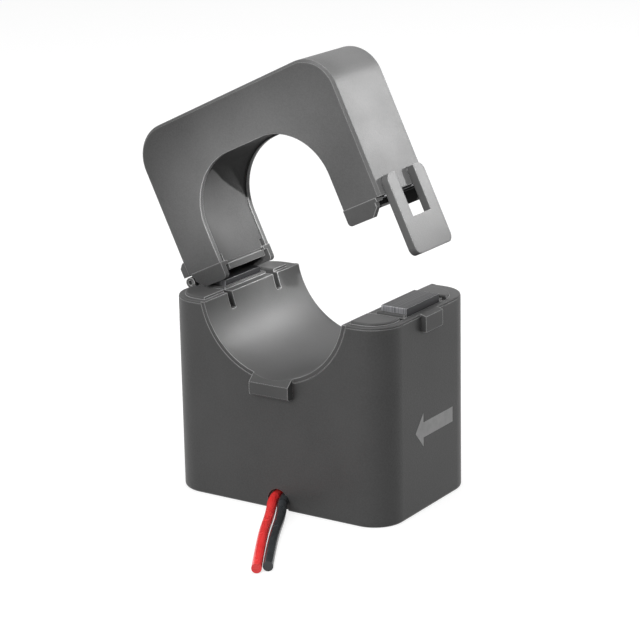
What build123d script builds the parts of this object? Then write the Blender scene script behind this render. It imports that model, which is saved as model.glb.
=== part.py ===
from build123d import *
import math
import os

# Split-core current sensor, lid swung open on its hinge. Millimetres, +Z up.
# The origin lies under the middle of the base. X runs across the part, -Y is the front,
# and the conductor passes through along Y.

# Base shell
body_width = 56.0
base_depth = 37.0
base_height = 44.5
plan_corner = 7.0
shell_wall = 1.3
floor_thick = 1.8
foot_round = 0.8
cable_notch_width = 5.2
cable_notch_height = 4.8
cable_notch_x = 0.35

# Conductor opening
aperture_dia = 36.0
bore_rise = 3.5
saddle_wall = 0.95
seat_gap = 0.05

# Deck moulding on top of the base
flange_thick = 0.5
flange_inset = 0.1
flange_round = 0.2
deck_thick = 3.3
deck_gap = 0.1
pad_inset = 1.5
pad_back_inset = 3.5
pad_bore_gap = 0.7
pad_height = 0.6
pad_round = 0.35
pad_inner_y = 9.8
groove_inner_y = 8.0
groove_depth = 2.1
slot_depth = 3.5
slot_reach = 0.5
plinth_height = 0.6
plinth_start_x = 19.6
plinth_inset = 0.1
plinth_round = 0.3
tab_width = 10.0
tab_reach = 2.1
tab_drop = 4.0
tab_rise = 0.9
tab_chamfer = 0.5
leg_hole_gap = 0.1
deck_edge_gap = 0.05

# Catch on the right wall
catch_width = 6.9
catch_reach = 1.3
catch_drop = 3.9
catch_ramp = 0.4
catch_gap = 0.1

# Lid
lid_depth = 19.0
lid_corner = 8.0
lid_wall = 1.1
lid_bevel = 0.6
parting_gap = 2.4
lid_aperture_height = 21.4
lid_aperture_corner = 13.3
open_angle = 25.4

# Hinge
hinge_offset_x = 0.0
hinge_rise = 0.75
barrel_radius = 1.15
pin_radius = 0.5
pin_seat_gap = 0.02
pin_running_gap = 0.05
pin_recess = 0.4
lid_knuckle_length = 12.2
base_knuckle_length = 3.0
knuckle_gap = 0.2
lug_reach = 1.0
lug_height = 3.0
lug_gap = 0.2
neck_rise = 0.5

# Liner inside the lid
liner_recess = 0.4
liner_thick = 1.0
liner_gap = 0.1
liner_tail = 0.3
liner_notch_width = 1.0
liner_notch_height = 1.7
cheek_height = 8.0
cheek_inset = 0.2
liner_flange = 0.9
skirt_drop = 3.7
skirt_thick = 1.4
skirt_start_x = 17.8
skirt_end_inset = 0.7
skirt_chamfer = 1.8
skirt_round = 1.0
bar_width = 1.2
bar_top = 0.8
bar_height = 1.4
bar_neck = 0.8

# Cut core
core_liner_gap = 0.8
core_depth = 13.6
core_wall_gap = 0.3
core_inner_round = 1.5
pole_rise = 1.8
pole_gap = 0.1
core_lid_gap = 1.2
core_arch_gap = 1.7
core_side_gap = 0.2

# Winding on the base yoke
bobbin_gap = 0.2
bobbin_wall = 1.0
bobbin_half = 18.5
flange_plate = 1.2
flange_foot = 1.5
flange_margin = 0.6
winding_floor_gap = 4.5
winding_saddle_gap = 2.15
winding_wall_gap = 3.2
winding_round = 3.0
tape_thick = 0.25
rest_pad_width = 3.0
rest_pad_length = 20.0
rest_pad_gap = 0.6
rail_front = 12.6
rail_depth = 3.0
rail_height = 2.4

# Tape bands that hold the laminations together
band_thick = 0.15
band_width = 6.0
base_band_drop = 12.5

# Leaf spring over the lid core
leaf_thick = 0.3
leaf_width = 9.0
leaf_span = 26.0
leaf_gap = 0.02

# Latch clip
clip_width = 14.6
clip_thick = 1.85
clip_top = 3.7
clip_drop = 14.4
clip_slot = 7.3
clip_round = 1.8
clip_gap = 0.05
clip_hook_gap = 0.2
clip_pivot = 2.6
clip_heel_radius = 0.7
clip_heel_gap = 0.05
clip_heel_inset = 2.0
clip_heel_play = 0.2
clip_relief_angle = 11.0

# Leads
lead_dia = 2.2
lead_spacing = 2.24
lead_z = 3.1
clamp_width = 12.0
clamp_front_gap = 0.1
clamp_depth = 2.9
clamp_top = 5.8
clamp_slot_gap = 0.03
pin_length = 4.0
terminal_radius = 0.5
terminal_reach = 1.2
floor_gap = 0.05

# Cuts run this far past the faces they open, and joined bodies sink this far into each other
overcut = 5.0
overlap = 1.0

# Worked out from the sizes above
half_width = body_width / 2
half_depth = base_depth / 2
bore_z = base_height + bore_rise
bore_radius = aperture_dia / 2
saddle_outer = bore_radius + saddle_wall
shell_cut = saddle_outer + seat_gap
shell_top = base_height - flange_thick
inner_x = half_width - shell_wall
inner_y = half_depth - shell_wall
parting_z = base_height + parting_gap
lid_half_depth = lid_depth / 2
lid_inner_x = half_width - lid_wall
lid_inner_y = lid_half_depth - lid_wall
hinge_x = -half_width - hinge_offset_x
hinge_z = base_height + hinge_rise
leg_outer = inner_x - core_wall_gap
leg_inner = bore_radius + liner_recess + liner_thick + core_liner_gap
core_leg = leg_outer - leg_inner
core_outer_round = core_inner_round + core_leg
liner_top = parting_z + lid_aperture_height + liner_recess + liner_thick
lid_core_top = liner_top + core_arch_gap + core_leg
lid_top = lid_core_top + core_lid_gap + lid_wall
pole_z = base_height + pole_rise
lid_pole_z = pole_z + pole_gap
core_half_depth = core_depth / 2
clip_back = half_width + clip_gap
catch_bottom = base_height - catch_drop
pivot_z = parting_z + clip_pivot


def block(x0, x1, y0, y1, z0, z1):
    centre = Pos((x0 + x1) / 2, (y0 + y1) / 2, (z0 + z1) / 2)
    return centre * Box(x1 - x0, y1 - y0, z1 - z0)


# An X-Z profile made as thick as given along Y, centred on y.
def thicken(profile, depth, y=0.0):
    return Pos(0, y, 0) * extrude(Plane.XZ * profile, depth / 2, both=True)


# An X-Y outline lifted to z0 and extruded up to z1.
def prism(outline, z0, z1):
    return Pos(0, 0, z0) * extrude(outline, z1 - z0)


def both_sides(shape):
    return shape + mirror(shape, Plane.YZ)


def front_and_back(shape):
    return shape + mirror(shape, Plane.XZ)


def bore_rod(radius, length):
    return Pos(0, 0, bore_z) * Rot(90, 0, 0) * Cylinder(radius, length)


def body_outline(inset):
    return RectangleRounded(body_width - 2 * inset, base_depth - 2 * inset, plan_corner - inset)


# Swings a piece drawn with the lid closed to where the open lid holds it.
hinge_axis = Axis((hinge_x, 0, hinge_z), (0, -1, 0))


def opened(shape):
    return shape.rotate(hinge_axis, open_angle)


def base_shell():
    tub = prism(body_outline(0), 0, shell_top)
    tub = fillet(tub.faces().sort_by(Axis.Z)[0].edges(), foot_round)
    tub -= prism(body_outline(shell_wall), floor_thick, base_height)
    tub -= bore_rod(shell_cut, 2 * base_depth)
    notch = Pos(cable_notch_x, 0) * SlotOverall(2 * cable_notch_height, cable_notch_width, rotation=90)
    tub -= thicken(notch, 2 * shell_wall, -half_depth)
    catch_half = catch_width / 2 + catch_gap
    tub -= block(inner_x - overlap, half_width + overlap, -catch_half, catch_half,
                 catch_bottom - catch_gap, base_height)
    return tub


def knuckle(x_right, z_root):
    barrel = Pos(hinge_x, hinge_z) * Circle(barrel_radius)
    web = Polygon(
        (hinge_x, hinge_z),
        (x_right, hinge_z),
        (x_right, z_root),
        (hinge_x, z_root),
        align=None,
    )
    return barrel + web


def snap_tab():
    lip = bore_z - bore_radius
    front = -half_depth
    side = Polygon(
        (front, lip + tab_rise),
        (front - tab_reach, lip - tab_rise),
        (front - tab_reach, lip - tab_drop + tab_chamfer),
        (front - tab_reach + tab_chamfer, lip - tab_drop),
        (front, lip - tab_drop),
        align=None,
    )
    return extrude(Plane.YZ * side, tab_width / 2, both=True)


def catch():
    inner = leg_outer + leg_hole_gap
    side = Polygon(
        (inner, catch_bottom),
        (half_width + catch_reach, catch_bottom),
        (half_width + catch_reach, base_height - catch_ramp),
        (half_width, base_height),
        (inner, base_height),
        align=None,
    )
    return thicken(side, catch_width)


# Raised pads on the rim, set back from the bore, with the lid's skirts and poles between them.
def rim_pads():
    front = half_depth - pad_inset
    back = half_depth - pad_back_inset
    outline = RectangleRounded(body_width - 2 * pad_inset, front + back, plan_corner - pad_inset)
    pads = prism(Pos(0, (back - front) / 2) * outline, base_height - overlap, base_height + pad_height)
    pads -= Box(2 * body_width, 2 * pad_inner_y, 4 * base_height)
    pads = fillet(pads.faces().group_by(Axis.Z)[-1].edges(), pad_round)
    return pads - Box(2 * (bore_radius + pad_bore_gap), 2 * base_depth, 4 * base_height)


def bore_saddle():
    deck = prism(body_outline(shell_wall + deck_gap), base_height - deck_thick, base_height)
    flange = prism(body_outline(flange_inset), shell_top, base_height)
    flange = fillet(flange.faces().sort_by(Axis.Z)[-1].edges(), flange_round)
    deck += flange
    deck -= Pos(hinge_x, 0, hinge_z) * Rot(90, 0, 0) * Cylinder(
        barrel_radius + knuckle_gap, lid_knuckle_length + 2 * knuckle_gap)
    deck += rim_pads()
    plinth_y = groove_inner_y - plinth_inset
    plinth = block(plinth_start_x, leg_outer + leg_hole_gap, -plinth_y, plinth_y,
                   base_height - overlap, base_height + plinth_height)
    plinth = fillet(plinth.faces().sort_by(Axis.Z)[-1].edges(), plinth_round)
    deck += both_sides(plinth)
    saddle = bore_rod(saddle_outer, base_depth)
    saddle -= block(-body_width, body_width, -base_depth, base_depth, base_height, 2 * base_height)
    deck += saddle
    deck += front_and_back(snap_tab())
    deck += catch()
    hole_y = core_half_depth + leg_hole_gap
    leg_hole = block(leg_inner - leg_hole_gap, leg_outer + leg_hole_gap, -hole_y, hole_y,
                     base_height - deck_thick - overcut, base_height + overcut)
    deck -= both_sides(leg_hole)
    groove = block(bore_radius - overcut, inner_x + deck_edge_gap, groove_inner_y, pad_inner_y,
                   base_height - groove_depth, base_height + overcut)
    slot = block(bore_radius - overcut, saddle_outer + slot_reach, groove_inner_y, pad_inner_y,
                 base_height - slot_depth, base_height + overcut)
    deck -= both_sides(front_and_back(groove + slot))
    deck -= bore_rod(bore_radius, 2 * base_depth)
    root = knuckle(hinge_x + barrel_radius, shell_top)
    ear_y = lid_knuckle_length / 2 + knuckle_gap + base_knuckle_length / 2
    ear = thicken(root, base_knuckle_length, ear_y)
    deck += front_and_back(ear)
    hole = Pos(hinge_x, 0, hinge_z) * Rot(90, 0, 0) * Cylinder(pin_radius + pin_seat_gap, 2 * lid_depth)
    return deck - hole


# A U of strip core: the yoke's outer edge at z_yoke, the two legs ending at z_pole.
def core_half(z_yoke, z_pole):
    way = 1 if z_pole > z_yoke else -1
    height = abs(z_pole - z_yoke)
    outer = Pos(0, height) * Rectangle(2 * leg_outer, 2 * height)
    outer = fillet(outer.vertices().group_by(Axis.Y)[0], core_outer_round)
    inner = Pos(0, height + core_leg) * Rectangle(2 * leg_inner, 2 * height)
    inner = fillet(inner.vertices().group_by(Axis.Y)[0], core_inner_round)
    half = outer - inner
    half -= Pos(0, 2 * height) * Rectangle(4 * leg_outer, 2 * height)
    if way < 0:
        half = mirror(half, Plane.XZ)
    return thicken(Pos(0, z_yoke) * half, core_depth)


def base_core():
    return core_half(yoke_mid_z - core_leg / 2, pole_z)


def base_core_tape():
    bottom = base_height - base_band_drop
    ring = block(leg_inner - band_thick, leg_outer + band_thick, -core_half_depth - band_thick,
                 core_half_depth + band_thick, bottom, bottom + band_width)
    ring -= block(leg_inner, leg_outer, -core_half_depth, core_half_depth, 0, 2 * base_height)
    return both_sides(ring)


# Rings round the base yoke, from the bobbin's bore outward.
winding_top = bore_z - saddle_outer - winding_saddle_gap
winding_bottom = floor_thick + winding_floor_gap
yoke_mid_z = (winding_top + winding_bottom) / 2
tube_y = core_half_depth + bobbin_gap
tube_z = core_leg / 2 + bobbin_gap
barrel_y = tube_y + bobbin_wall
barrel_z = tube_z + bobbin_wall
winding_y = inner_y - winding_wall_gap
winding_z = (winding_top - winding_bottom) / 2
winding_half = bobbin_half - flange_plate


def ring_round_yoke(outer_y, outer_z, half_length, inner_y_size, inner_z_size, corner):
    outer = Rectangle(2 * outer_y, 2 * outer_z)
    if corner:
        outer = fillet(outer.vertices(), corner)
    ring = outer - Rectangle(2 * inner_y_size, 2 * inner_z_size)
    return Pos(0, 0, yoke_mid_z) * extrude(Plane.YZ * ring, half_length, both=True)


def winding_bobbin():
    spool = ring_round_yoke(barrel_y, barrel_z, bobbin_half, tube_y, tube_z, 0)
    plate_y = winding_y + flange_margin
    plate_top = yoke_mid_z + winding_z + flange_margin
    plate_foot = floor_thick + flange_foot
    cheek = block(winding_half, bobbin_half, -plate_y, plate_y, plate_foot, plate_top)
    cheek -= block(0, bobbin_half + overcut, -tube_y, tube_y, yoke_mid_z - tube_z, yoke_mid_z + tube_z)
    spool += both_sides(cheek)
    spool += block(-bobbin_half, bobbin_half, -rail_front, -rail_front + rail_depth,
                   lead_z - rail_height / 2, lead_z + rail_height / 2)
    for x in lead_xs():
        spool -= Pos(x, -rail_front, lead_z) * Rot(90, 0, 0) * Cylinder(
            terminal_radius + pin_seat_gap, 4 * rail_depth)
    return spool


def secondary_winding():
    return ring_round_yoke(winding_y, winding_z, winding_half, barrel_y, barrel_z, winding_round)


def winding_tape():
    outer = RectangleRounded(2 * (winding_y + tape_thick), 2 * (winding_z + tape_thick),
                             winding_round + tape_thick)
    ring = outer - RectangleRounded(2 * winding_y, 2 * winding_z, winding_round)
    return Pos(0, 0, yoke_mid_z) * extrude(Plane.YZ * ring, winding_half, both=True)


def coil_rest_pads():
    front = rail_depth - rail_front + rest_pad_gap
    pad = block(bobbin_half - rest_pad_width, bobbin_half, front, front + rest_pad_length,
                floor_thick, floor_thick + flange_foot)
    return both_sides(pad)


def lead_xs():
    return (cable_notch_x - lead_spacing / 2, cable_notch_x + lead_spacing / 2)


def terminal_pin(x):
    tip = -rail_front - terminal_reach
    return Pos(x, tip + pin_length / 2, lead_z) * Rot(90, 0, 0) * Cylinder(terminal_radius, pin_length)


def lead_clamp():
    front = -inner_y + clamp_front_gap
    bar = block(cable_notch_x - clamp_width / 2, cable_notch_x + clamp_width / 2, front, front + clamp_depth,
                floor_thick, clamp_top)
    slot = SlotOverall(lead_spacing + lead_dia + 2 * clamp_slot_gap, lead_dia + 2 * clamp_slot_gap)
    return bar - thicken(Pos(cable_notch_x, lead_z) * slot, 4 * clamp_depth, front)


# The leads leave through the notch, drop to the floor and lie forward, side by side.
floor_z = lead_dia / 2 + floor_gap
lead_start_y = -rail_front - terminal_reach
red_route = [
    (lead_xs()[0], lead_start_y, lead_z),
    (lead_xs()[0], -18.7, lead_z),
    (1.9, -23.6, floor_z),
    (7.6, -35.2, floor_z),
    (16.9, -50.8, floor_z),
]
black_route = [
    (lead_xs()[1], lead_start_y, lead_z),
    (lead_xs()[1], -18.3, lead_z),
    (4.8, -23.8, floor_z),
    (10.6, -35.6, floor_z),
    (18.3, -48.7, floor_z),
]


def lead(route):
    points = [Vector(*p) for p in route]
    radii = []
    for before, corner, after in zip(points, points[1:], points[2:]):
        into = corner - before
        out = after - corner
        half_turn = math.radians(into.get_angle(out)) / 2
        radii.append(0.45 * min(into.length, out.length) / math.tan(half_turn))
    path = FilletPolyline(*points, radius=radii)
    print("lead radii", [round(r, 1) for r in radii], "length", round(path.length, 1))
    section = Plane(origin=path @ 0, z_dir=path % 0) * Circle(lead_dia / 2)
    return sweep(section, path=path)


def hinge_pin():
    length = lid_knuckle_length + 2 * (knuckle_gap + base_knuckle_length - pin_recess)
    return Pos(hinge_x, 0, hinge_z) * Rot(90, 0, 0) * Cylinder(pin_radius, length)


# The lid's arch outline, drawn smaller all round by inset; the bottom stays at z_bottom.
def arch(inset, z_bottom):
    height = lid_top - inset - z_bottom
    shape = Pos(0, z_bottom + height / 2) * Rectangle(body_width - 2 * inset, height)
    return fillet(shape.vertices().group_by(Axis.Y)[-1], lid_corner - inset)


# The lid's conductor opening, drawn larger all round by grow.
def lid_aperture(grow, z_bottom):
    top = parting_z + lid_aperture_height + grow
    shape = Pos(0, (top + z_bottom) / 2) * Rectangle(aperture_dia + 2 * grow, top - z_bottom)
    return fillet(shape.vertices().group_by(Axis.Y)[-1], lid_aperture_corner + grow)


def lid_shell():
    lid = thicken(arch(0, parting_z), lid_depth)
    rims = [lid.faces().sort_by(Axis.Y)[end].edges().sort_by(Axis.Z)[1:] for end in (0, -1)]
    lid = chamfer(rims[0] + rims[1], lid_bevel)
    lid -= thicken(lid_aperture(0, parting_z - overcut), 2 * lid_depth)
    lid -= thicken(arch(lid_wall, parting_z - overcut), 2 * lid_inner_y)
    lug_left = -half_width - lug_reach
    lug = Polygon(
        (-half_width + lid_wall / 2, parting_z - parting_gap + hinge_rise + barrel_radius + lug_gap),
        (lug_left, parting_z - parting_gap + hinge_rise + barrel_radius + lug_gap),
        (lug_left, parting_z + lug_height - lug_reach),
        (-half_width, parting_z + lug_height),
        (-half_width + lid_wall / 2, parting_z + lug_height),
        align=None,
    )
    lid += thicken(lug, lid_depth)
    neck = Polygon(
        (hinge_x - barrel_radius, hinge_z),
        (hinge_x + barrel_radius * 0.7, hinge_z),
        (-half_width + lid_wall * 0.8, parting_z + neck_rise),
        (lug_left, parting_z + neck_rise),
        align=None,
    )
    lid += thicken(Pos(hinge_x, hinge_z) * Circle(barrel_radius) + neck, lid_knuckle_length)
    lid -= Pos(hinge_x, 0, hinge_z) * Rot(90, 0, 0) * Cylinder(pin_radius + pin_running_gap, 2 * lid_depth)
    socket = Pos(clip_back, 0, pivot_z) * Rot(90, 0, 0) * Cylinder(
        clip_heel_radius + clip_heel_gap, clip_width - clip_heel_inset + 2 * clip_heel_play)
    socket -= Box(4 * body_width, clip_slot - 2 * clip_heel_play, 4 * lid_top)
    return lid - socket


def skirt():
    right = lid_inner_x - skirt_end_inset
    bottom = parting_z - skirt_drop
    side = Pos((skirt_start_x + right) / 2, (parting_z + bottom) / 2) * Rectangle(
        right - skirt_start_x, skirt_drop)
    low = side.vertices().group_by(Axis.Y)[0].sort_by(Axis.X)
    side = chamfer(low[-1], skirt_chamfer)
    low = side.vertices().group_by(Axis.Y)[0].sort_by(Axis.X)
    side = fillet(low[0], skirt_round)
    return thicken(side, skirt_thick, lid_half_depth - skirt_thick / 2)


def lid_liner():
    panel_y = lid_inner_y - liner_gap
    cheek_y = core_half_depth + core_side_gap
    right = lid_inner_x - 2 * liner_gap
    face_x = bore_radius + liner_recess
    back_x = face_x + liner_thick
    tail_z = parting_z - liner_tail
    panel = lid_aperture(liner_recess + liner_thick, tail_z) - lid_aperture(liner_recess, tail_z - overcut)
    liner = thicken(panel, 2 * panel_y)
    cheek = block(face_x + cheek_inset, right, cheek_y, panel_y, parting_z - liner_flange,
                  parting_z + cheek_height)
    ledge = block(skirt_start_x, right, cheek_y, lid_half_depth, parting_z - liner_flange, parting_z)
    bar = block(bore_radius, bore_radius + bar_width, -core_half_depth, core_half_depth,
                parting_z - bar_top - bar_height, parting_z - bar_top)
    neck = block(back_x - bar_neck, back_x, -core_half_depth, core_half_depth,
                 parting_z - bar_top - bar_height, tail_z + bar_neck / 4)
    half = front_and_back(cheek + ledge + skirt()) + bar + neck
    liner += both_sides(half)
    notch = block(face_x - overlap, face_x + liner_thick * 0.6, panel_y - liner_notch_width,
                  panel_y + overlap, parting_z, parting_z + liner_notch_height)
    return liner - both_sides(front_and_back(notch))


def lid_core():
    return core_half(lid_core_top, lid_pole_z)


def lid_core_tape():
    top = lid_core_top
    half = band_width / 2
    ring = block(-half, half, -core_half_depth - band_thick, core_half_depth + band_thick,
                 top - core_leg - band_thick, top + band_thick)
    return ring - block(-2 * half, 2 * half, -core_half_depth, core_half_depth, top - core_leg, top)


def core_leaf_spring():
    low = lid_core_top + band_thick + leaf_gap
    high = lid_top - lid_wall - leaf_gap
    rise = high - leaf_thick - low
    under = ThreePointArc(
        (-leaf_span / 2, high - leaf_thick), (0, low), (leaf_span / 2, high - leaf_thick))
    over = ThreePointArc((leaf_span / 2, high), (0, high - rise), (-leaf_span / 2, high))
    ends = [
        Line((leaf_span / 2, high - leaf_thick), (leaf_span / 2, high)),
        Line((-leaf_span / 2, high), (-leaf_span / 2, high - leaf_thick)),
    ]
    return thicken(make_face([under, ends[0], over, ends[1]]), leaf_width)


def latch_clip():
    top = parting_z + clip_top
    bottom = parting_z - clip_drop
    slot_end = catch_bottom - clip_hook_gap
    plate = Pos(0, (top + bottom) / 2) * Rectangle(clip_width, top - bottom)
    plate = fillet(plate.vertices(), clip_round)
    plate -= Pos(0, (slot_end + top + overcut) / 2) * Rectangle(clip_slot, top + overcut - slot_end)
    clip = Pos(clip_back, 0, 0) * extrude(Plane.YZ * plate, clip_thick)
    heel = Pos(clip_back, 0, pivot_z) * Rot(90, 0, 0) * Cylinder(
        clip_heel_radius, clip_width - clip_heel_inset)
    heel -= Box(4 * body_width, clip_slot, 4 * lid_top)
    clip += heel
    lean = (top + overcut - pivot_z) * math.tan(math.radians(clip_relief_angle))
    relief = Polygon(
        (clip_back, pivot_z),
        (clip_back, top + overcut),
        (clip_back + lean, top + overcut),
        align=None,
    )
    return clip - thicken(relief, 2 * clip_width)


def save(shape, node):
    os.makedirs("parts", exist_ok=True)
    export_step(shape, f"parts/{node}.step")


save(base_shell(), "base_shell")
save(bore_saddle(), "bore_saddle")
save(base_core(), "base_core")
save(base_core_tape(), "base_core_tape")
save(winding_bobbin(), "winding_bobbin")
save(secondary_winding(), "secondary_winding")
save(winding_tape(), "winding_tape")
save(coil_rest_pads(), "coil_rest_pads")
save(terminal_pin(lead_xs()[0]), "terminal_pin_red")
save(terminal_pin(lead_xs()[1]), "terminal_pin_black")
save(lead_clamp(), "lead_clamp")
save(lead(red_route), "lead_red")
save(lead(black_route), "lead_black")
save(hinge_pin(), "hinge_pin")
save(opened(lid_shell()), "lid_shell")
save(opened(lid_liner()), "lid_liner")
save(opened(lid_core()), "lid_core")
save(opened(lid_core_tape()), "lid_core_tape")
save(opened(core_leaf_spring()), "core_leaf_spring")
save(opened(latch_clip()), "latch_clip")
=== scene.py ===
import bmesh
import bpy
import math
from mathutils import Vector, Matrix


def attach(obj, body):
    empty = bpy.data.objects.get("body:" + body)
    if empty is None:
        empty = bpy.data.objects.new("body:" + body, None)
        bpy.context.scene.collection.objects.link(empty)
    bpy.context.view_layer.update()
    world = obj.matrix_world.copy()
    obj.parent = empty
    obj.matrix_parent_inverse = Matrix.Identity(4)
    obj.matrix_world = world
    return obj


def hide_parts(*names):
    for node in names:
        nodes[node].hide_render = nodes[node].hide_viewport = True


# Split-core current sensor with its lid swung open. Everything is in metres, in the CAD's own frame.
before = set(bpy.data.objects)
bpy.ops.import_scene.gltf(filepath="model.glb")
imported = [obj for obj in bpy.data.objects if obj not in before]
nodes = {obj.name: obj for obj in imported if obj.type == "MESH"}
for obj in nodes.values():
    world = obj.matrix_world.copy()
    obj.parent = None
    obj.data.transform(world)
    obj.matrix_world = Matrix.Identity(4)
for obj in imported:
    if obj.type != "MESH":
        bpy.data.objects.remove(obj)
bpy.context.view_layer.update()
mm = 0.001


def deselectAll():
    if bpy.context.object and bpy.context.object.mode != "OBJECT":
        bpy.ops.object.mode_set(mode="OBJECT")
    bpy.ops.object.select_all(action="DESELECT")


# turns a colour as a screen shows it into the linear values that shaders take
def shade(hexColour):
    parts = [int(hexColour[i:i + 2], 16) / 255 for i in (1, 3, 5)]
    linear = [c / 12.92 if c <= 0.04045 else ((c + 0.055) / 1.055) ** 2.4 for c in parts]
    return (*linear, 1.0)


# the camera, at the photograph's viewing angle
cameraSet = {
    "azimuth": 33.38,       # degrees round from the front
    "elevation": 16.37,
    "roll": -1.14,
    "distance": 525.06 * mm,
    "target": (-0.9 * mm, 1.5 * mm, 37.79 * mm),
    "lens": 134.0,
    "sensorWidth": 36,
    "clipStart": 0.01,
    "clipEnd": 20,
}


def addCamera(view):
    azimuth, elevation, roll = (math.radians(view[k]) for k in ("azimuth", "elevation", "roll"))
    level = math.cos(elevation)
    back = Vector((math.sin(azimuth) * level, -math.cos(azimuth) * level, math.sin(elevation)))
    side = Vector((math.cos(azimuth), math.sin(azimuth), 0))
    up = back.cross(side)
    right = side * math.cos(roll) + up * math.sin(roll)
    up = up * math.cos(roll) - side * math.sin(roll)
    deselectAll()
    bpy.ops.object.camera_add()
    camera = bpy.context.object
    camera.name = "photoCamera"
    camera.data.lens = view["lens"]
    camera.data.sensor_width = view["sensorWidth"]
    camera.data.clip_start = view["clipStart"]
    camera.data.clip_end = view["clipEnd"]
    turn = Matrix((right, up, back)).transposed().to_4x4()
    camera.matrix_world = Matrix.Translation(Vector(view["target"]) + back * view["distance"]) @ turn
    bpy.context.scene.camera = camera


addCamera(cameraSet)
bpy.context.scene.view_settings.view_transform = "Standard"
print("camera placed")


# small helpers for node trees; a number is set, anything else is linked
def feed(tree, socket, value):
    if isinstance(value, (int, float, tuple)):
        socket.default_value = value
    else:
        tree.links.new(value, socket)


def addMath(tree, operation, first, second, clamp=False):
    node = tree.nodes.new("ShaderNodeMath")
    node.operation = operation
    node.use_clamp = clamp
    feed(tree, node.inputs[0], first)
    feed(tree, node.inputs[1], second)
    return node.outputs[0]


def addNoise(tree, vector, scale, detail, roughness=0.5):
    node = tree.nodes.new("ShaderNodeTexNoise")
    feed(tree, node.inputs["Detail"], detail)
    feed(tree, node.inputs["Roughness"], roughness)
    feed(tree, node.inputs["Scale"], scale)
    feed(tree, node.inputs["Vector"], vector)
    return node.outputs["Fac"]


def addRange(tree, value, span, outSpan=(0.0, 1.0)):
    node = tree.nodes.new("ShaderNodeMapRange")
    for label, number in zip(("From Min", "From Max", "To Min", "To Max"), (*span, *outSpan)):
        feed(tree, node.inputs[label], number)
    feed(tree, node.inputs["Value"], value)
    return node.outputs["Result"]


def newGroup(name, inputs, outputs):
    group = bpy.data.node_groups.new(name, "ShaderNodeTree")
    group.interface.new_socket("Vector", in_out="INPUT", socket_type="NodeSocketVector")
    for label, value in inputs.items():
        socket = group.interface.new_socket(label, in_out="INPUT", socket_type="NodeSocketFloat")
        socket.default_value = value
    for label, kind in outputs.items():
        group.interface.new_socket(label, in_out="OUTPUT", socket_type=kind)
    inside = group.nodes.new("NodeGroupInput")
    outside = group.nodes.new("NodeGroupOutput")
    return group, inside, outside


# spark-eroded mould texture: a fine height, and a slow cloudiness for tone and sheen
grainSet = {
    "grainScale": 2600.0, "grainDetail": 3.0, "grainRoughness": 0.6, "speckSpan": (0.35, 0.65),
    "cloudScale": 90.0, "cloudDetail": 4.0, "cloudRoughness": 0.55, "cloudSpan": (0.3, 0.7),
}


def buildMouldGrain(values):
    group, inside, outside = newGroup(
        "mouldGrain",
        {"Grain Scale": values["grainScale"], "Cloud Scale": values["cloudScale"]},
        {"Height": "NodeSocketFloat", "Cloud": "NodeSocketFloat", "Speck": "NodeSocketFloat"})
    vector = inside.outputs["Vector"]
    fine = addNoise(group, vector, inside.outputs["Grain Scale"],
                    values["grainDetail"], values["grainRoughness"])
    cloud = addNoise(group, vector, inside.outputs["Cloud Scale"],
                     values["cloudDetail"], values["cloudRoughness"])
    feed(group, outside.inputs["Height"], fine)
    feed(group, outside.inputs["Cloud"], addRange(group, cloud, values["cloudSpan"]))
    feed(group, outside.inputs["Speck"], addRange(group, fine, values["speckSpan"]))
    return group


# rounds edges for the light, and finds them for a paler edge tone, partly wear and partly painted highlight,
# which is broken up in patches
edgeSet = {
    "radius": 0.0003, "breakup": 0.5, "samples": 8,
    "turnSpan": (0.985, 0.75),      # how far the rounded normal leans away, as a cosine
    "patchScale": 420.0, "patchDetail": 3.0, "patchSpan": (0.3, 0.7), "patchWearAndHighlight": (0.35, 1.0),
}


def buildSoftEdge(values):
    group, inside, outside = newGroup(
        "softEdge",
        {"Radius": values["radius"], "Breakup": values["breakup"]},
        {"Normal": "NodeSocketVector", "Wear And Highlight": "NodeSocketFloat"})
    breakup = inside.outputs["Breakup"]
    bevel = group.nodes.new("ShaderNodeBevel")
    bevel.samples = values["samples"]
    feed(group, bevel.inputs["Radius"], inside.outputs["Radius"])
    geometry = group.nodes.new("ShaderNodeNewGeometry")
    lean = group.nodes.new("ShaderNodeVectorMath")
    lean.operation = "DOT_PRODUCT"
    feed(group, lean.inputs[0], bevel.outputs["Normal"])
    feed(group, lean.inputs[1], geometry.outputs["Normal"])
    edge = addRange(group, lean.outputs["Value"], values["turnSpan"])
    patches = addNoise(group, inside.outputs["Vector"], values["patchScale"], values["patchDetail"])
    broken = addRange(group, patches, values["patchSpan"], values["patchWearAndHighlight"])
    patchy = addMath(group, "MULTIPLY", addMath(group, "MULTIPLY", edge, broken, clamp=True), breakup)
    even = addMath(group, "MULTIPLY", edge, addMath(group, "SUBTRACT", 1.0, breakup))
    feed(group, outside.inputs["Normal"], bevel.outputs["Normal"])
    feed(group, outside.inputs["Wear And Highlight"], addMath(group, "ADD", patchy, even, clamp=True))
    return group


# thin strip steel seen on its cut edges: lines stacked along the first axis only
laminationSet = {
    "layers": 3300.0, "stretch": (1.0, 0.006, 0.006),
    "lineDetail": 1.0, "lineRoughness": 0.4, "lineSpan": (0.35, 0.65),
    "streakScale": 700.0, "streakDetail": 3.0, "streakRoughness": 0.6, "streakSpan": (0.3, 0.7),
}


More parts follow.
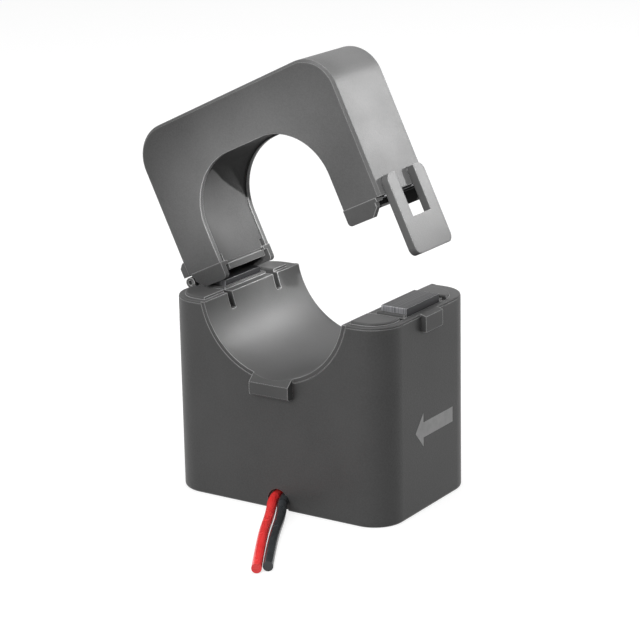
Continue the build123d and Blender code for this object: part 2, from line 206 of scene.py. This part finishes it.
def buildLamination(values):
    group, inside, outside = newGroup(
        "lamination", {"Layers": values["layers"]}, {"Line": "NodeSocketFloat", "Streak": "NodeSocketFloat"})
    stretch = group.nodes.new("ShaderNodeVectorMath")
    stretch.operation = "MULTIPLY"
    feed(group, stretch.inputs[1], values["stretch"])
    feed(group, stretch.inputs[0], inside.outputs["Vector"])
    vector = stretch.outputs[0]
    line = addNoise(group, vector, inside.outputs["Layers"], values["lineDetail"], values["lineRoughness"])
    streak = addNoise(group, vector, values["streakScale"], values["streakDetail"], values["streakRoughness"])
    feed(group, outside.inputs["Line"], addRange(group, line, values["lineSpan"]))
    feed(group, outside.inputs["Streak"], addRange(group, streak, values["streakSpan"]))
    return group


mouldGrain = buildMouldGrain(grainSet)
softEdge = buildSoftEdge(edgeSet)
lamination = buildLamination(laminationSet)
print("node groups built")


# one material with the steps that all the finishes share
class finishMaker:
    def __init__(self, name):
        self.material = bpy.data.materials.new(name)
        self.material.use_nodes = True
        self.tree = self.material.node_tree
        self.shader = self.tree.nodes["Principled BSDF"]
        self.vector = self.tree.nodes.new("ShaderNodeTexCoord").outputs["Object"]

    def place(self, group, values):
        node = self.tree.nodes.new("ShaderNodeGroup")
        node.node_tree = group
        for label, value in {"Vector": self.vector, **values}.items():
            feed(self.tree, node.inputs[label], value)
        return node.outputs

    def mix(self, mask, low, high):
        node = self.tree.nodes.new("ShaderNodeMix")
        node.data_type = "RGBA"
        feed(self.tree, node.inputs["Factor"], mask)
        for label, value in (("A", low), ("B", high)):
            socket = next(s for s in node.inputs if s.name == label and s.type == "RGBA")
            feed(self.tree, socket, value)
        return next(s for s in node.outputs if s.type == "RGBA")

    def part(self, mask, share):
        return addMath(self.tree, "MULTIPLY", mask, share)

    def bump(self, height, distance, strength, normal=None):
        node = self.tree.nodes.new("ShaderNodeBump")
        feed(self.tree, node.inputs["Distance"], distance)
        feed(self.tree, node.inputs["Strength"], strength)
        feed(self.tree, node.inputs["Height"], height)
        if normal is not None:
            feed(self.tree, node.inputs["Normal"], normal)
        return node.outputs["Normal"]

    def give(self, label, value):
        feed(self.tree, self.shader.inputs[label], value)


# moulded plastic with a textured skin, paler along its edges: rubbed wear there, and a painted highlight
# along the rims
housingLook = {
    "dark": "#3f3f3f", "light": "#464646", "speck": 0.35, "speckColour": "#515151",
    "wearAndHighlight": 0.75, "wearAndHighlightColour": "#a8a8a8", "edgeRadius": 0.0004, "edgeBreakup": 0.4,
    "rough": 0.45, "roughSpread": 0.04, "wearPolish": 0.12, "gloss": 0.3, "ior": 1.5,
    "grainScale": 2600.0, "grainDepth": 0.00006, "grainStrength": 0.6, "cloudScale": 90.0,
}
# the deck's edges are painted paler still: a painted highlight along its rims, with some wear
deckLook = dict(housingLook, dark="#454545", light="#4e4e4e", speck=0.2, wearAndHighlight=0.95, wearAndHighlightColour="#c4c4c4",
                rough=0.5, grainDepth=0.00003)
linerLook = dict(housingLook, dark="#424242", light="#4c4c4c", wearAndHighlight=0.6, rough=0.6, ior=1.1,
                 grainDepth=0.00004)
clipLook = dict(housingLook, dark="#454545", light="#4d4d4d", rough=0.42, grainDepth=0.00004)
nylonLook = dict(housingLook, dark="#c9c4b4", light="#d6d2c4", speckColour="#e2dfd4", wearAndHighlightColour="#efede6",
                 grainDepth=0.00002)
rubberLook = dict(housingLook, dark="#1d1d1e", light="#262627", speckColour="#303031", wearAndHighlightColour="#3a3a3b",
                  rough=0.8)


def mouldedPlastic(name, look):
    maker = finishMaker(name)
    grain = maker.place(mouldGrain, {"Grain Scale": look["grainScale"], "Cloud Scale": look["cloudScale"]})
    edge = maker.place(softEdge, {"Radius": look["edgeRadius"], "Breakup": look["edgeBreakup"]})
    tone = maker.mix(grain["Cloud"], shade(look["dark"]), shade(look["light"]))
    specked = maker.mix(maker.part(grain["Speck"], look["speck"]), tone, shade(look["speckColour"]))
    # edges are painted paler: partly wear, partly a painted highlight where the rims catch the light
    wornAndHighlit = maker.mix(maker.part(edge["Wear And Highlight"], look["wearAndHighlight"]), specked, shade(look["wearAndHighlightColour"]))
    maker.give("Base Color", wornAndHighlit)
    roughSpan = (look["rough"] - look["roughSpread"], look["rough"] + look["roughSpread"])
    rough = addRange(maker.tree, grain["Cloud"], (0.0, 1.0), roughSpan)
    polish = maker.part(edge["Wear And Highlight"], look["wearPolish"])
    maker.give("Roughness", addMath(maker.tree, "SUBTRACT", rough, polish))
    skin = maker.bump(grain["Height"], look["grainDepth"], look["grainStrength"], edge["Normal"])
    maker.give("Normal", skin)
    maker.give("Specular IOR Level", look["gloss"])
    maker.give("IOR", look["ior"])
    return maker.material


housingPlastic = mouldedPlastic("housingPlastic", housingLook)
deckPlastic = mouldedPlastic("deckPlastic", deckLook)
linerPlastic = mouldedPlastic("linerPlastic", linerLook)
clipPlastic = mouldedPlastic("clipPlastic", clipLook)
nylon = mouldedPlastic("bobbinNylon", nylonLook)
padRubber = mouldedPlastic("padRubber", rubberLook)


# strip-wound core; its slit edges, front and back, are brighter than the ground pole faces; its corners are
# painted paler, partly wear and partly a painted highlight
stripLook = {
    "dark": "#2c2c2e", "light": "#4a4a4c", "streak": 0.5, "streakColour": "#3c3c3e",
    "slitDark": "#77777a", "slitLight": "#a9a9ac", "slitSpan": (0.6, 0.9),
    "wearAndHighlight": 0.6, "wearAndHighlightColour": "#b9babb", "edgeRadius": 0.0002, "edgeBreakup": 0.3,
    "metallic": 0.7, "roughSpan": (0.36, 0.5), "lineDepth": 0.00005, "lineStrength": 0.6,
}
lidTurn = math.radians(25.4)        # swings the layer lines with the open lid's legs


def stripSteel(name, look, turn):
    maker = finishMaker(name)
    mapping = maker.tree.nodes.new("ShaderNodeMapping")
    feed(maker.tree, mapping.inputs["Rotation"], (0.0, turn, 0.0))
    feed(maker.tree, mapping.inputs["Vector"], maker.vector)
    maker.vector = mapping.outputs["Vector"]
    layers = maker.place(lamination, {})
    edge = maker.place(softEdge, {"Radius": look["edgeRadius"], "Breakup": look["edgeBreakup"]})
    ground = maker.mix(layers["Line"], shade(look["dark"]), shade(look["light"]))
    ground = maker.mix(maker.part(layers["Streak"], look["streak"]), ground, shade(look["streakColour"]))
    slit = maker.mix(layers["Line"], shade(look["slitDark"]), shade(look["slitLight"]))
    facing = maker.tree.nodes.new("ShaderNodeTexCoord")
    parts = maker.tree.nodes.new("ShaderNodeSeparateXYZ")
    feed(maker.tree, parts.inputs["Vector"], facing.outputs["Normal"])
    frontOrBack = addMath(maker.tree, "ABSOLUTE", parts.outputs["Y"], 0.0)
    steel = maker.mix(addRange(maker.tree, frontOrBack, look["slitSpan"]), ground, slit)
    # corners painted paler: partly wear, partly a painted highlight along the core's edges
    wornAndHighlit = maker.mix(maker.part(edge["Wear And Highlight"], look["wearAndHighlight"]), steel, shade(look["wearAndHighlightColour"]))
    maker.give("Base Color", wornAndHighlit)
    maker.give("Metallic", look["metallic"])
    maker.give("Roughness", addRange(maker.tree, layers["Streak"], (0.0, 1.0), look["roughSpan"]))
    maker.give("Normal", maker.bump(layers["Line"], look["lineDepth"], look["lineStrength"], edge["Normal"]))
    return maker.material


coreSteel = stripSteel("coreSteel", stripLook, 0.0)
lidCoreSteel = stripSteel("lidCoreSteel", stripLook, lidTurn)


# enamelled wire wound side by side across X
wireLook = {
    "dark": "#5b2a12", "light": "#b5673a", "turnScale": 620.0, "waver": 0.4,
    "metallic": 0.8, "roughSpan": (0.45, 0.28), "turnDepth": 0.0001, "turnStrength": 0.7,
}


def woundWire(name, look):
    maker = finishMaker(name)
    wave = maker.tree.nodes.new("ShaderNodeTexWave")
    feed(maker.tree, wave.inputs["Scale"], look["turnScale"])
    feed(maker.tree, wave.inputs["Distortion"], look["waver"])
    feed(maker.tree, wave.inputs["Vector"], maker.vector)
    turns = wave.outputs["Fac"]
    maker.give("Base Color", maker.mix(turns, shade(look["dark"]), shade(look["light"])))
    maker.give("Metallic", look["metallic"])
    maker.give("Roughness", addRange(maker.tree, turns, (0.0, 1.0), look["roughSpan"]))
    maker.give("Normal", maker.bump(turns, look["turnDepth"], look["turnStrength"]))
    return maker.material


copperWire = woundWire("copperWire", wireLook)


# finishes with a fine grain and no worn edges; roughFrom says which mask moves the roughness
metalLook = {
    "grainScale": 1800.0, "cloudScale": 300.0, "grainDepth": 0.00002, "grainStrength": 0.4,
    "roughFrom": "Speck", "shader": {"Metallic": 1.0},
}
tapeLook = {
    "grainScale": 900.0, "cloudScale": 160.0, "grainDepth": 0.00004, "grainStrength": 0.4,
    "roughFrom": "Cloud", "roughSpan": (0.22, 0.34), "shader": {},
}
sleeveLook = {
    "grainScale": 1500.0, "cloudScale": 260.0, "grainDepth": 0.00003, "grainStrength": 0.3,
    "roughFrom": "Cloud", "roughSpan": (0.2, 0.3), "shader": {"IOR": 1.53},
}
inkLook = {
    "grainScale": 3200.0, "cloudScale": 500.0, "grainDepth": 0.00005, "grainStrength": 0.5,
    "roughFrom": "Speck", "roughSpan": (0.5, 0.62), "shader": {"Specular IOR Level": 0.3},
}


def grainedFinish(name, look, dark, light, **changes):
    look = dict(look, **changes)
    maker = finishMaker(name)
    grain = maker.place(mouldGrain, {"Grain Scale": look["grainScale"], "Cloud Scale": look["cloudScale"]})
    maker.give("Base Color", maker.mix(grain["Cloud"], shade(dark), shade(light)))
    maker.give("Roughness", addRange(maker.tree, grain[look["roughFrom"]], (0.0, 1.0), look["roughSpan"]))
    maker.give("Normal", maker.bump(grain["Height"], look["grainDepth"], look["grainStrength"]))
    for label, value in look["shader"].items():
        maker.give(label, value)
    return maker.material


pinSteel = grainedFinish("pinSteel", metalLook, "#3b3b3c", "#4a4a4b", roughSpan=(0.34, 0.46))
springSteel = grainedFinish("springSteel", metalLook, "#6f7276", "#8d9094", roughSpan=(0.22, 0.34))
tinnedPin = grainedFinish("tinnedPin", metalLook, "#b8b9ba", "#cfd0d0", roughSpan=(0.19, 0.31))
coreTape = grainedFinish("coreTape", tapeLook, "#b88a2a", "#cda043")
windingFilm = grainedFinish("windingFilm", tapeLook, "#c9a83c", "#dcbf58")
redSleeve = grainedFinish("redSleeve", sleeveLook, "#ea2c2c", "#f64040")
blackSleeve = grainedFinish("blackSleeve", sleeveLook, "#26292b", "#33373a")
arrowInk = grainedFinish("arrowInk", inkLook, "#a6a6a6", "#b6b6b6")
print("finishes made")


# the two leads, on the same routes as the CAD's tubes; places along a route are in mm
leadSet = {
    "diameter": 2.2 * mm, "steps": 24, "roundness": 6,
    "leads": {
        "redLead": {
            "node": "lead_red", "sleeve": redSleeve, "length": 41.7 * mm,
            "route": [(-0.77, -13.8, 3.1), (-0.77, -18.7, 3.1), (1.9, -23.6, 1.15),
                      (7.6, -35.2, 1.15), (16.9, -50.8, 1.15)],
        },
        "blackLead": {
            "node": "lead_black", "sleeve": blackSleeve, "length": 39.4 * mm,
            "route": [(1.47, -13.8, 3.1), (1.47, -18.3, 3.1), (4.8, -23.8, 1.15),
                      (10.6, -35.6, 1.15), (18.3, -48.7, 1.15)],
        },
    },
}


def addLead(name, node, sleeve, length, route):
    deselectAll()
    curve = bpy.data.curves.new(name, "CURVE")
    curve.dimensions = "3D"
    curve.resolution_u = leadSet["steps"]
    spline = curve.splines.new("NURBS")
    spline.points.add(len(route) - 1)
    for point, (x, y, z) in zip(spline.points, route):
        point.co = (x * mm, y * mm, z * mm, 1.0)
    spline.order_u = 3
    spline.use_endpoint_u = True
    curve.bevel_depth = leadSet["diameter"] / 2
    curve.bevel_resolution = leadSet["roundness"]
    curve.use_fill_caps = True
    lead = bpy.data.objects.new(name, curve)
    bpy.context.scene.collection.objects.link(lead)
    curve.materials.append(sleeve)
    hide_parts(node)
    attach(lead, "base")


for leadName, leadSettings in leadSet["leads"].items():
    addLead(leadName, **leadSettings)
print("leads laid")


# the finish that each CAD piece gets
nodeFinish = {
    "base_shell": housingPlastic, "lid_shell": housingPlastic, "latch_clip": clipPlastic,
    "bore_saddle": deckPlastic, "lid_liner": linerPlastic,
    "base_core": coreSteel, "lid_core": lidCoreSteel,
    "base_core_tape": coreTape, "lid_core_tape": coreTape,
    "winding_bobbin": nylon, "lead_clamp": nylon,
    "secondary_winding": copperWire, "winding_tape": windingFilm,
    "coil_rest_pads": padRubber, "terminal_pin_red": tinnedPin, "terminal_pin_black": tinnedPin,
    "hinge_pin": pinSteel, "core_leaf_spring": springSteel,
    "lead_red": redSleeve, "lead_black": blackSleeve,
}
for nodeName, finish in nodeFinish.items():
    piece = nodes[nodeName]
    if not piece.material_slots:
        piece.data.materials.append(finish)
    for materialSlot in piece.material_slots:
        materialSlot.material = finish
print("CAD pieces finished")


# direction arrow printed on the right wall, pointing to the front
arrowSet = {
    "wallX": 28.0 * mm, "ink": 0.03 * mm,
    "axisZ": 18.45 * mm, "tipY": -6.1 * mm, "neckY": -2.85 * mm, "tailY": 9.6 * mm,
    "tailHalf": 1.7 * mm, "headHalf": 3.75 * mm,
    "mergeWithin": 0.001 * mm, "flatWithin": math.radians(1),
}


# keeps in edit mode only the corners that the test picks
def selectCorners(mesh, picks):
    bpy.ops.mesh.select_all(action="DESELECT")
    for corner in mesh.verts:
        corner.select = picks(corner.co)
    mesh.select_flush(True)


def addArrow(settings):
    tailHalf, headHalf = settings["tailHalf"], settings["headHalf"]
    tipY, neckY, tailY = settings["tipY"], settings["neckY"], settings["tailY"]
    deselectAll()
    bpy.ops.mesh.primitive_plane_add(size=1)
    arrow = bpy.context.object
    arrow.name = "directionArrow"
    arrow.data.name = "directionArrow"
    # the plane becomes the tail, lying in X-Y with its neck towards -Y
    arrow.scale = (2 * tailHalf, tailY - neckY, 1)
    arrow.location = (0, (tailY + neckY) / 2, 0)
    bpy.ops.object.transform_apply(location=True, rotation=True, scale=True)
    bpy.ops.object.mode_set(mode="EDIT")
    bpy.ops.mesh.select_mode(type="VERT")
    mesh = bmesh.from_edit_mesh(arrow.data)
    selectCorners(mesh, lambda place: place.y < 0)
    # the neck is drawn out into the head's corners, and those run together at the tip
    bpy.ops.mesh.extrude_edges_move()
    bpy.ops.transform.resize(value=(headHalf / tailHalf, 1, 1), center_override=(0, neckY, 0))
    bpy.ops.mesh.extrude_edges_move(TRANSFORM_OT_translate={"value": (0, tipY - neckY, 0)})
    bpy.ops.mesh.merge(type="CENTER")
    bpy.ops.mesh.select_all(action="SELECT")
    bpy.ops.mesh.remove_doubles(threshold=settings["mergeWithin"])
    bpy.ops.mesh.dissolve_limited(angle_limit=settings["flatWithin"])
    bpy.ops.mesh.select_all(action="SELECT")
    bpy.ops.mesh.extrude_region_move(TRANSFORM_OT_translate={"value": (0, 0, settings["ink"])})
    bpy.ops.mesh.select_all(action="SELECT")
    bpy.ops.mesh.normals_make_consistent(inside=False)
    bpy.ops.object.mode_set(mode="OBJECT")
    # up on its edge against the wall
    arrow.rotation_euler = (0, math.pi / 2, 0)
    arrow.location = (settings["wallX"], 0, settings["axisZ"])
    bpy.ops.object.transform_apply(location=True, rotation=True, scale=True)
    arrow.data.materials.append(arrowInk)
    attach(arrow, "base")


addArrow(arrowSet)
print("arrow printed")


# pale floor, pale room and studio lamps; directions point from the object to the lamp
stageSet = {
    "floorSize": 6.0,
    "floorColour": 0.3,      # what lamps and bounced light see
    "floorGlow": 0.8,        # what the camera and reflections see on top of it
    "roomLight": 0.2,
    "boxAim": (0, 0, 45 * mm),
    "softboxes": {
        "backSoftbox": {
            "direction": (0.537, 0.739, 0.407), "distance": 0.7, "size": (0.22, 0.14), "watts": 1.0,
        },
        "frontFill": {
            "direction": (-0.1, -0.9, 0.42), "distance": 1.0, "size": (0.8, 0.6), "watts": 5.8,
        },
        "topSoftbox": {
            "direction": (0, 0, 1), "distance": 0.9, "size": (0.6, 0.6), "watts": 6.0,
        },
    },
    # narrow lamps: aim in mm, beam in degrees; glints says whether a lamp shows in gloss
    "snoots": {
        "lidKey": {
            "direction": (0.716, -0.485, 0.5), "distance": 0.9, "aim": (22, 0, 77),
            "beam": 3.5, "softness": 0.7, "radius": 0.01, "watts": 53.0, "glints": False,
        },
        "bendKey": {
            "direction": (0.716, -0.485, 0.5), "distance": 0.9, "aim": (8, 2, 101),
            "beam": 2.2, "softness": 0.9, "radius": 0.01, "watts": 72.0, "glints": False,
        },
        "linerKey": {
            "direction": (0.596, -0.533, 0.601), "distance": 0.9, "aim": (-23, -2, 63),
            "beam": 1.9, "softness": 0.5, "radius": 0.008, "watts": 104.0, "glints": False,
        },
        "lidSideSheen": {
            "direction": (0.552, 0.76, 0.342), "distance": 0.7, "aim": (23, 0, 80),
            "beam": 5.4, "softness": 0.8, "radius": 0.008, "watts": 11.2, "glints": True,
        },
        "saddleSheen": {
            "direction": (0.463, 0.637, 0.616), "distance": 0.7, "aim": (-12, -2, 35),
            "beam": 2.6, "softness": 0.9, "radius": 0.008, "watts": 28.0, "glints": True,
        },
    },
}
white = (1, 1, 1, 1)


# 1 where the camera, a reflection or a see-through part looks at the surface, and 0 for plain light
def seenDirectly(tree):
    paths = tree.nodes.new("ShaderNodeLightPath")
    glossy = addMath(tree, "MAXIMUM", paths.outputs["Is Camera Ray"], paths.outputs["Is Glossy Ray"])
    return addMath(tree, "MAXIMUM", glossy, paths.outputs["Is Transmission Ray"])


def addFloor(settings):
    deselectAll()
    bpy.ops.mesh.primitive_plane_add(size=settings["floorSize"], location=(0, 0, 0))
    floor = bpy.context.object
    floor.name = "paleFloor"
    maker = finishMaker("floorWhite")
    level = settings["floorColour"]
    maker.give("Base Color", (level, level, level, 1))
    maker.give("Roughness", 1.0)
    maker.give("Specular IOR Level", 0.0)
    maker.give("Emission Color", white)
    maker.give("Emission Strength", maker.part(seenDirectly(maker.tree), settings["floorGlow"]))
    floor.data.materials.append(maker.material)


def addRoom(settings):
    world = bpy.data.worlds.new("paleRoom")
    world.use_nodes = True
    tree = world.node_tree
    room = tree.nodes["Background"]
    feed(tree, room.inputs["Color"], white)
    strength = addRange(tree, seenDirectly(tree), (0.0, 1.0), (settings["roomLight"], 1.0))
    feed(tree, room.inputs["Strength"], strength)
    bpy.context.scene.world = world


def addLamp(kind, name, settings, aim):
    deselectAll()
    bpy.ops.object.light_add(type=kind)
    lamp = bpy.context.object
    lamp.name = name
    lamp.data.energy = settings["watts"]
    toLamp = Vector(settings["direction"]).normalized()
    lamp.matrix_world = (Matrix.Translation(Vector(aim) + toLamp * settings["distance"])
                         @ toLamp.to_track_quat("Z", "Y").to_matrix().to_4x4())
    return lamp


addFloor(stageSet)
addRoom(stageSet)
for lampName, lampSettings in stageSet["softboxes"].items():
    softbox = addLamp("AREA", lampName, lampSettings, stageSet["boxAim"])
    softbox.data.shape = "RECTANGLE"
    softbox.data.size, softbox.data.size_y = lampSettings["size"]
for lampName, lampSettings in stageSet["snoots"].items():
    snoot = addLamp("SPOT", lampName, lampSettings, [v * mm for v in lampSettings["aim"]])
    snoot.data.spot_size = math.radians(lampSettings["beam"])
    snoot.data.spot_blend = lampSettings["softness"]
    snoot.data.shadow_soft_size = lampSettings["radius"]
    snoot.visible_glossy = lampSettings["glints"]
print("stage lit")
